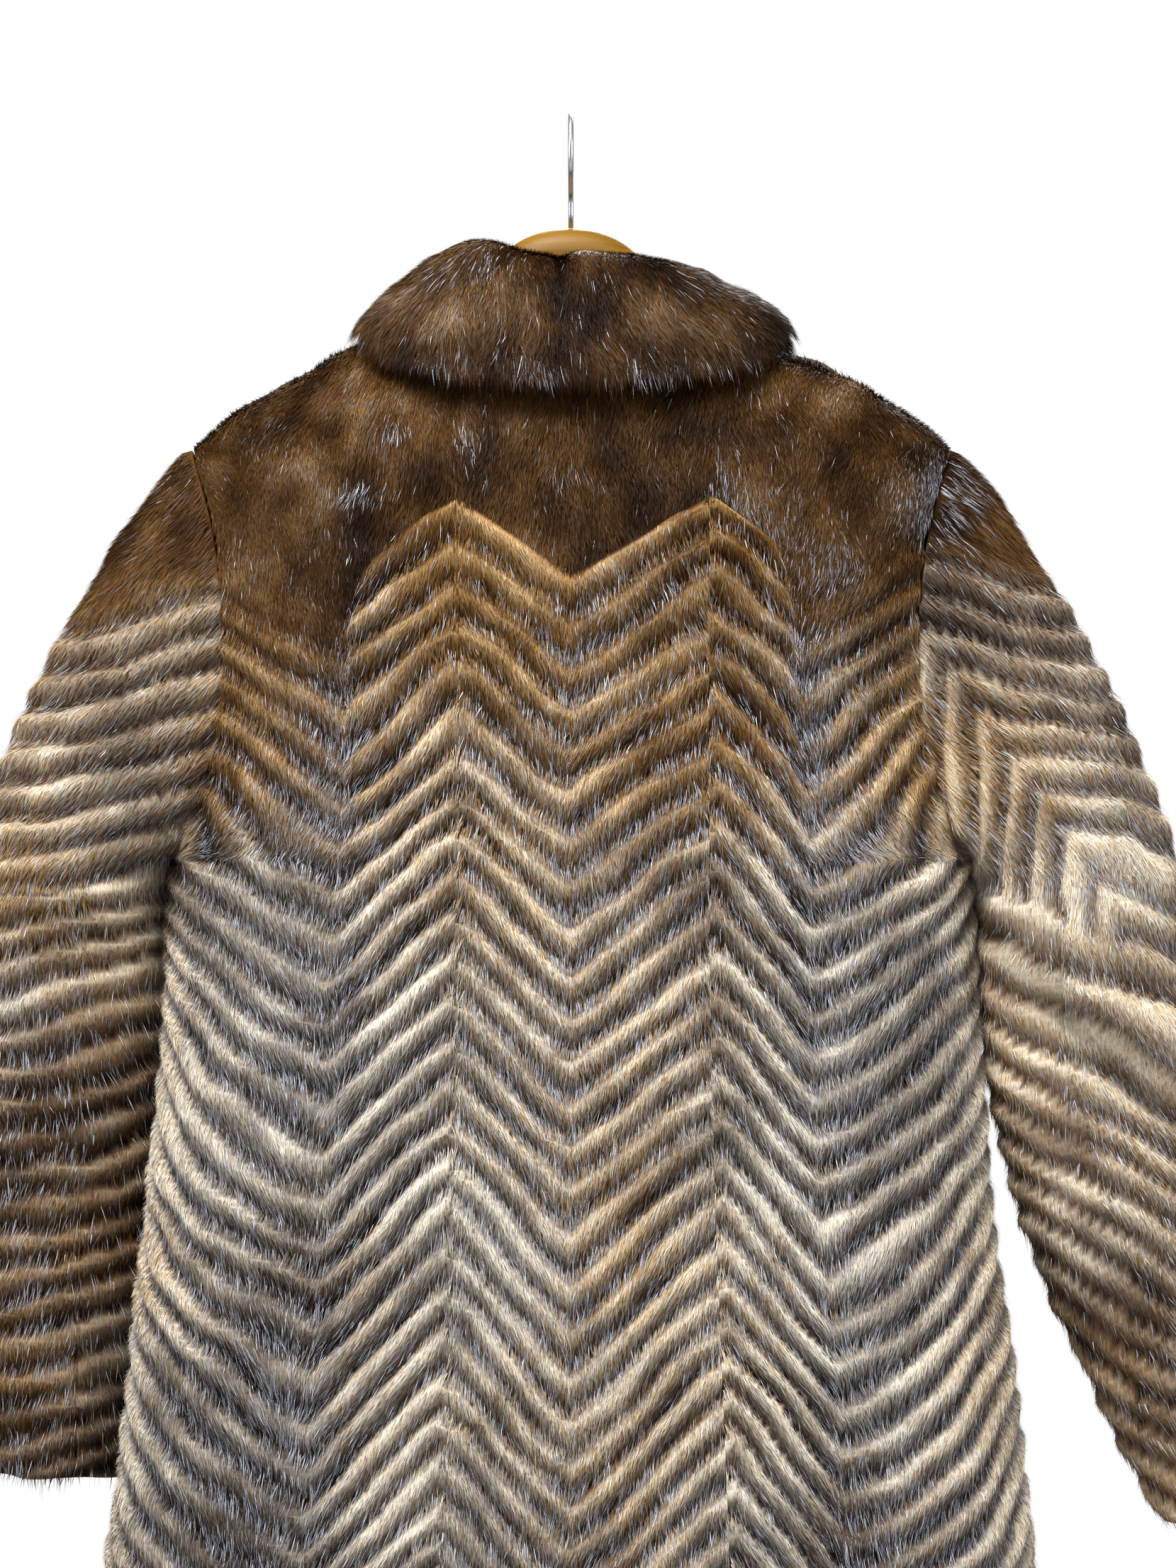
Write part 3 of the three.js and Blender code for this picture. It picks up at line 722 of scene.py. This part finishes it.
def ridge_nap(row, at, strength=1.0, valley=0.0, flow=0.0, light=0.0, warm=1.0, fade=0.06, lift=0.47):
    """Strips: relief, tone, warmth, longest hair, share of hairs painted silver as sheen and sideways flow."""
    row = row + 0.33 * drift(at, 0.060, 31) + 0.15 * drift(at, 0.022, 32)
    number = np.floor(row)
    f = row - number
    plain = plain_nap(0, 0, at)
    plump = 1 + 0.45 * drift(at, 0.030, 36)
    roll = 0.5 - 0.5 * np.cos(2 * math.pi * f**lift)
    relief = RIDGE * strength * plump * roll + 0.0022 * drift(at, 0.070, 33)
    deep = down_from(-0.26, 0.24, at)
    lot = np.sin(number * 2.399 + 0.7) + np.sin(number * 5.1 + 30 * at[..., 0])
    bright = np.clip(1 + 0.75 * drift(at, 0.034, 37) + 0.40 * drift(at, 0.013, 39), 0.1, 2)
    # Pale crest near each strip's upper edge: partly the fur's own pale colour, partly painted highlight where
    # the roll faces the light.
    pale_crest_and_highlight = bell(f - 0.22, 0.26) * bright
    # Painted shade in the groove where one strip meets the next.
    groove_shade = bell(1 - f, 0.13) + 0.5 * bell(f, 0.04)
    across = mix(0.20, 0.29, deep) * pale_crest_and_highlight - 0.20 * groove_shade - 0.27 * smooth((f - 0.38) / 0.50)
    tone = mix(0.49, 0.65, deep) + 0.045 * lot + strength * across + light - 0.17 * valley
    tone = tone + 0.17 * drift(at, 0.060, 34) + 0.11 * drift(at, 0.018, 35)
    # Painted sheen: more silver hairs low on each strip and in the valleys.
    silver = mix(0.25, 0.75, deep) * (0.30 + smooth((f - 0.30) / 0.5)) + 0.60 * valley
    silver = silver * np.clip(1 + 0.8 * drift(at, 0.060, 38), 0.2, 2)
    warmth = np.clip(warm + 0.35 * drift(at, 0.070, 40), 0.05, 1)
    striped = smooth((row + 0.02 + 0.35 * (fade - 0.06) * drift(at, 0.030, 42)) / fade)
    room = np.minimum(0.0035 + 0.8 * f * PITCH, (1.14 - f) * PITCH * strength)
    strip = dict(
        relief=relief,
        tone=tone,
        warm=warmth,
        reach=np.maximum(0.0025, room),
        silver=np.clip(silver, 0, 1),
        flow=flow + 0.10 * drift(at, 0.050, 41),
    )
    return {kind: mix(plain[kind], strip[kind], striped) for kind in strip}


def panel(u, v):
    u, v = np.clip(u, -1, 1), np.clip(v, 0, 1)
    return body_point(1, u, mix(yoke_seam(u), HEM_Z, v))


def panel_nap(shift):
    def nap(u, v, at):
        a, side = np.abs(u), np.sign(u)
        peak_at, valley_at = turns(u)
        inward = np.where((a > peak_at) & (a < valley_at), 1, -1)
        zig = zigzag(u)
        away = (1 - bell(zig, 0.12)) * (1 - bell(1 - zig, 0.15))
        deep = down_from(-0.26, 0.25, at)
        flow = side * inward * away * mix(0.12, 0.42, np.clip(a / 0.4, 0, 1)) * mix(0.6, 1.0, deep)
        valley = bell(zig, 0.26) * mix(0.3, 1.0, np.clip(a / 0.3, 0, 1))
        # Painted highlight: the strip ends near the side seams, low on the body, are made paler where the body
        # turns away.
        edge = smooth((a - 0.70) / 0.18) * smooth(down_from(-0.44, 0.05, at))
        golden = 0.50 * bell(u + 0.08, 0.14) + 0.24 * smooth((a - 0.65) / 0.2)
        warm = np.clip(1.0 - 0.95 * deep + golden, 0, 1)
        low_side = down_from(-0.62, 0.20, at) * smooth((a - 0.20) / 0.20)
        fade = 0.06 + 3.6 * smooth((a - 0.30) / 0.14)
        light = 0.02 + 0.20 * edge - 0.15 * low_side - 0.035 * np.clip(u / 0.4, -1, 1)
        lift = mix(0.47, 0.62, smooth((a - 0.55) / 0.3))
        row = strip_row(u, at[..., 2], shift)
        return ridge_nap(row, at, 1.0, valley, flow, light, warm, fade, lift)

    return nap


BACK_PANELS = [
    ("back_right", -1, -RIGHT_PEAK, 0.18, 130000, (0.27, 0.75), 0.135),
    ("back_center", -RIGHT_PEAK, LEFT_PEAK, 0.0, 112000, (0.18, 0.75), 0.115),
    ("back_left", LEFT_PEAK, 1, -0.12, 130000, (0.29, 0.75), 0.148),
]
HALF_ROUND = 0.39
COLUMN_WIDTH = 0.0046
for number, (node, low, high, shift, count, cut, area) in enumerate(BACK_PANELS):
    across = np.linspace(low, high, int((high - low) * HALF_ROUND / COLUMN_WIDTH))
    skin_piece = pelt(node + "_panel", panel, panel_nap(shift), across, np.linspace(0, 1, 210), 1)
    fur = hairs(node + "_fur", panel, panel_nap(shift), ((low, 0), (high, 1)), count, 40 + number * 5, 1)
    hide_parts(node)

# Fronts: one panel each side from the shoulder seam and neckline to the hem, plain at the chest like the yoke
# and in the same zigzag strips below. They meet edge to edge.
EDGE_SHARE = math.asin(FRONT_GAP / 2 / HALF_WIDTH[0][1]) * 2 / math.pi


def front(u, v):
    u, v = np.clip(u, -1, 1), np.clip(v, 0, 1)
    return body_point(-1, u, mix(top_z(-1, u), HEM_Z, v**1.25))


def front_nap(u, v, at):
    deep = down_from(-0.26, 0.25, at)
    return ridge_nap(strip_row(u, at[..., 2], 0.1), at, 0.85, warm=1.0 - 0.7 * deep, lift=0.66)


for side, node in ((1, "front_left"), (-1, "front_right")):
    low, high = sorted((EDGE_SHARE * side, side))
    across = np.linspace(low, high, 64)
    skin_piece = pelt(node + "_panel", front, front_nap, across, np.linspace(0, 1, 150), -1)
    fur = hairs(node + "_fur", front, front_nap, ((low, 0), (high, 1)), 32000, 60 + side, -1)
    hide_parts(node)

# Sleeves: a wide top sleeve with a plain head, and an under sleeve, closed by two seams. The left one hangs
# straight with level strips; the right one swings out, its strips mitred, and sags over one fold.
SLEEVE_START = 0.0006
FOLD_DEPTH = 0.011
FOLD_ABOVE, FOLD_CREASE, FOLD_BELOW = 0.060, 0.014, 0.070
PAST_FOLD_REACH = 0.0062
FOLD_LINE = [(0.05, -0.600), (0.25, -0.515), (0.42, -0.462), (0.5, -0.445)]
LEFT_LINE = ((0.295, -0.008, -0.448), (0.301, -0.036, -0.610), (0.310, -0.056, -0.795))
RIGHT_LINE = ((0.295, -0.008, -0.448), (0.299, -0.008, -0.600), (0.402, -0.012, -0.790))
SLEEVES = {
    "left": dict(side=1, line=LEFT_LINE, half=(0.060, 0.060), full=0, fold=False),
    "right": dict(side=-1, line=RIGHT_LINE, half=(0.060, 0.062), full=0.006, fold=True),
}
SLEEVE_DEEP = (0.056, 0.044)
SLEEVE_PITCH = 0.0200


def armhole_point(side, down, back):
    z = mix(TIP_Z, ARMPIT_Z, (1 - np.cos(math.pi * down)) / 2)
    rear = body_point(1, np.full(z.shape, float(side)), z)
    fore = body_point(-1, np.full(z.shape, float(side)), z)
    return np.where(back[..., None], rear, fore)


def sleeve_form(sleeve):
    side = sleeve["side"]
    (x0, y0, z0), (x1, y1, z1), (x2, y2, z2) = sleeve["line"]

    def place(turn, s):
        turn, s = np.broadcast_arrays(np.asarray(turn, float), np.asarray(s, float))
        s = np.clip(s, 0, 2)
        t = turn - np.floor(turn)
        along = np.maximum(0, s - 1)
        cx = mix(mix(x0, x1, along), mix(x1, x2, along), along)
        cy = mix(mix(y0, y1, along), mix(y1, y2, along), along)
        cz = mix(mix(z0, z1, along), mix(z1, z2, along), along)
        ax = side * 2 * mix(x1 - x0, x2 - x1, along)
        az = 2 * mix(z1 - z0, z2 - z1, along)
        long = np.hypot(ax, az)
        ax, az = ax / long, az / long
        ox, oz = -az * side, ax * side
        wide = mix(*sleeve["half"], along) + sleeve["full"] * np.sin(math.pi * along)
        a = wide * np.cos(2 * math.pi * t)
        b = mix(*SLEEVE_DEEP, along) * np.sin(2 * math.pi * t)
        ring = np.stack([side * cx + ox * a, cy + b, cz + oz * a], axis=-1)
        back = t <= 0.5
        down = np.where(back, 2 * t, 2 * (1 - t))
        lx, lz = side * mix(0.883, 0.3, down), mix(-0.469, -0.954, down)
        far = np.hypot(lx, lz)
        leave = np.stack([lx / far, np.zeros_like(lx), lz / far], axis=-1)
        start = armhole_point(side, down, back) + leave * SLEEVE_START
        start[..., 0] += side * 0.001 * down
        axis = np.stack([ax, np.zeros_like(ax), az], axis=-1)
        m0, m1 = mix(0.105, 0.030, down)[..., None], mix(0.150, 0.030, down)[..., None]
        r = np.clip(s, 0, 1)[..., None]
        r2, r3 = r**2, r**3
        cap = (2 * r3 - 3 * r2 + 1) * start + (3 * r2 - 2 * r3) * ring
        cap = cap + (r3 - 2 * r2 + r) * m0 * leave + (r3 - r2) * m1 * axis
        ring = np.where((s < 1)[..., None], cap, ring)
        if sleeve["fold"]:
            over = ring[..., 2] - curve(FOLD_LINE, t)
            share = smooth((t - 0.02) / 0.12) * smooth((0.5 - t) / 0.1)
            above = bell(over, FOLD_ABOVE)
            under = (2 * bell(over, FOLD_CREASE) - 1) * bell(over, FOLD_BELOW)
            ring[..., 1] += FOLD_DEPTH * share * np.where(over > 0, above, under)
        return ring

    return place


def left_sleeve_nap(u, v, at):
    row = (-0.262 - at[..., 2] - 0.22 * (at[..., 0] - 0.20)) / SLEEVE_PITCH
    light = 0.11 - 0.34 * smooth(down_from(-0.50, 0.08, at))
    return ridge_nap(row, at, 0.75, light=light, warm=0.5, fade=0.9, lift=0.60)


def right_sleeve_nap(u, v, at):
    out = -at[..., 0]
    slope = mix(0.15, 0.55, down_from(-0.42, 0.15, at))
    level = (-0.243 - at[..., 2] - slope * (out - 0.20)) / SLEEVE_PITCH
    upright = (out - 0.190) / 0.0165 + 2.4
    mitred = at[..., 2] > -0.43 - 0.5 * (out - 0.21)
    # Painted shade: the sleeve darkens low down, below its fold.
    light = mix(-0.04, 0.17, smooth(down_from(-0.27, 0.08, at))) - 0.23 * smooth(down_from(-0.53, 0.08, at))
    row = np.where(mitred, np.minimum(level, upright), level)
    coat = ridge_nap(row, at, 0.75, light=light, warm=0.5, fade=0.9, lift=0.60)
    over = at[..., 2] - curve(FOLD_LINE, u - np.floor(u)) + FOLD_CREASE
    coat["reach"] = mix(coat["reach"], PAST_FOLD_REACH, bell(over, 0.024))
    return coat


TOP_SLEEVE = 0.3
SLEEVE_NAPS = {"left": left_sleeve_nap, "right": right_sleeve_nap}
sleeve_rows = np.concatenate([np.linspace(0, 1, 62), np.linspace(1, 2, 76)[1:]])
for name, sleeve in SLEEVES.items():
    form = sleeve_form(sleeve)
    outward = -sleeve["side"]
    cuts = [
        ("top", -TOP_SLEEVE, TOP_SLEEVE, 60, 68000, (0.24, 0.62), 0.125),
        ("under", TOP_SLEEVE, 1 - TOP_SLEEVE, 32, 15000, (0.15, 0.46), 0.055),
    ]
    for number, (part, low, high, across, count, cut, area) in enumerate(cuts):
        node = f"sleeve_{name}_{part}"
        columns = np.linspace(low, high, across)
        skin_piece = pelt(node + "_panel", form, SLEEVE_NAPS[name], columns, sleeve_rows, outward, coarse=2)
        seed = 80 + 10 * number + sleeve["side"]
        spread = ((low, 0), (high, 2))
        fur = hairs(node + "_fur", form, SLEEVE_NAPS[name], spread, count, seed, outward)
        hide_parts(node)

# Collar: two plain halves joined at the back of the neck. It stands up from the neckline, rolls over and lies
# on the shoulders, with a fringe of long guard hairs along its edge, many painted silver as sheen.
COLLAR_SEAM = 4
COLLAR_END = 171
ROLL_Z = [
    (-COLLAR_END, -0.172), (-150, -0.158), (-120, -0.121), (-90, -0.094), (-60, -0.090), (-30, -0.085),
    (-8, -0.085), (COLLAR_SEAM, -0.085), (20, -0.081), (33, -0.077), (46, -0.076), (62, -0.080),
    (90, -0.090), (120, -0.120), (150, -0.158), (COLLAR_END, -0.172),
]
FALL_Z = [
    (0, -0.158), (30, -0.154), (60, -0.142), (90, -0.124), (120, -0.188), (150, -0.244), (COLLAR_END, -0.262),
]
FALL_OUT = [
    (-COLLAR_END, 0.024), (-150, 0.034), (-120, 0.057), (-90, 0.050), (-60, 0.044), (-30, 0.032), (0, 0.028),
    (30, 0.032), (60, 0.042), (90, 0.047), (120, 0.055), (150, 0.034), (COLLAR_END, 0.024),
]
ROLL_RADIUS = 0.009
ROLL_REACH = 0.006
WALL = 0.007
COLLAR_STATIONS = (0, 0.15, 0.28, 0.36, 0.42, 0.5, 0.75, 1)


def neck_point(degrees):
    x = NECK_HALF * np.sin(np.radians(degrees))
    share = np.arcsin(x / HALF_WIDTH[0][1]) * 2 / math.pi
    rear = body_point(1, share, top_z(1, share))
    fore = body_point(-1, share, top_z(-1, share))
    return np.where((np.abs(degrees) <= 90)[..., None], rear, fore)


def through_stations(values, v):
    """Smooth curve through one value per station, where each value is itself an array."""
    places = np.array(COLLAR_STATIONS)
    values = np.stack(values)
    slopes = tangents(places, values)
    i = np.clip(np.searchsorted(places, v, side="right") - 1, 0, len(places) - 2)

    def pick(table, at):
        return np.take_along_axis(table, at[None], axis=0)[0]

    width = places[i + 1] - places[i]
    start, end = (pick(values, i), pick(slopes, i)), (pick(values, i + 1), pick(slopes, i + 1))
    return bridge((v - places[i]) / width, width, *start, *end)


def collar(degrees, v):
    degrees, v = np.broadcast_arrays(np.asarray(degrees, float), np.clip(np.asarray(v, float), 0, 1))
    a = np.abs(degrees)
    foot = neck_point(degrees)
    roll, fall, reach = curve(ROLL_Z, degrees), curve(FALL_Z, a), curve(FALL_OUT, degrees)
    ones = np.ones_like(v)
    over = ROLL_RADIUS + 0.002
    out = [
        -(WALL + 0.0035) * ones, -(WALL + 0.0025) * ones, -WALL * ones, -(WALL / 2 - 0.001) * ones,
        0.002 * ones, over * ones, mix(over, reach, 0.5) + 0.0015, reach,
    ]
    up = [
        foot[..., 2] + 0.005, mix(foot[..., 2], roll, 0.45), roll - ROLL_RADIUS, roll - 0.0025,
        roll, roll - ROLL_RADIUS + 0.002, mix(roll, fall, 0.5), fall,
    ]
    turn = np.radians(degrees)
    far = through_stations(out, v)
    z = through_stations(up, v)
    return np.stack([foot[..., 0] + far * np.sin(turn), foot[..., 1] + far * np.cos(turn), z], axis=-1)


# Tan places, and places of painted silver sheen, on the collar: (around in degrees, down, half turn, half
# length, strength).
TAN_PATCHES = [
    (62, 0.78, 26, 0.16, 0.34), (-42, 0.82, 22, 0.13, 0.30),
    (24, 0.62, 10, 0.12, 0.10), (-70, 0.66, 16, 0.14, 0.12),
]
SILVER_SHEEN_PATCHES = [(32, 0.52, 12, 0.10, 0.30), (-78, 0.60, 14, 0.14, 0.35), (48, 0.60, 8, 0.06, 0.3)]


def collar_nap(u, v, at):
    u, v = np.broadcast_arrays(np.asarray(u, float), np.asarray(v, float))
    around = np.stack([u, np.zeros_like(u), v], axis=-1)
    seam = bell(u - COLLAR_SEAM, 3.5)
    relief = 0.0022 * drift(at, 0.036, 91) + 0.0014 * drift(at, 0.016, 92) - 0.0025 * seam
    patch = drift(at, 0.036, 93)
    tone = 0.22 + 0.20 * patch + 0.16 * drift(at, 0.014, 94) + 0.12 * drift(at, 0.007, 98)
    tone = tone - 0.14 * seam + spots(around, TAN_PATCHES) + 0.06 * np.tanh(u / 20)
    over_roll = bell(v - 0.40, 0.14)
    # Painted sheen: drifting patches with more silver hairs.
    drifting_sheen = 0.06 * smooth(drift(at, 0.028, 95) * 2)
    return dict(
        relief=relief,
        tone=tone,
        warm=np.clip(1.25 - tone, 0.35, 1),
        reach=mix(UNCUT_REACH, ROLL_REACH, over_roll),
        silver=np.clip(0.02 + drifting_sheen + spots(around, SILVER_SHEEN_PATCHES), 0, 1),
        flow=0.3 * drift(at, 0.030, 97),
    )


def fringe_nap(u, v, at):
    # The fringe takes more painted silver sheen.
    return {**collar_nap(u, v, at), "silver": np.clip(0.14 + 0.45 * drift(at, 0.030, 96), 0, 1)}


COLLAR_HALVES = [("collar_left", COLLAR_SEAM, COLLAR_END), ("collar_right", -COLLAR_END, COLLAR_SEAM)]
standing_rows, rolling_rows = np.linspace(0, 0.28, 10), np.linspace(0.28, 0.5, 12)
collar_rows = np.concatenate([standing_rows, rolling_rows[1:], np.linspace(0.5, 1, 24)[1:]])
for number, (node, low, high) in enumerate(COLLAR_HALVES):
    across = np.linspace(low, high, 80)
    skin_piece = pelt(node + "_half", collar, collar_nap, across, collar_rows, 1)
    seed = 100 + 10 * number
    fur = hairs(node + "_fur", collar, collar_nap, ((low, 0.2), (high, 1)), 44000, seed, 1, long=0.009)
    edge = ((low, 0.93), (high, 1))
    fringe = hairs(
        node + "_fringe", collar, fringe_nap, edge, 2600, seed + 5, 1, long=0.010, lean=0.06, guards=1.0
    )
    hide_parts(node)
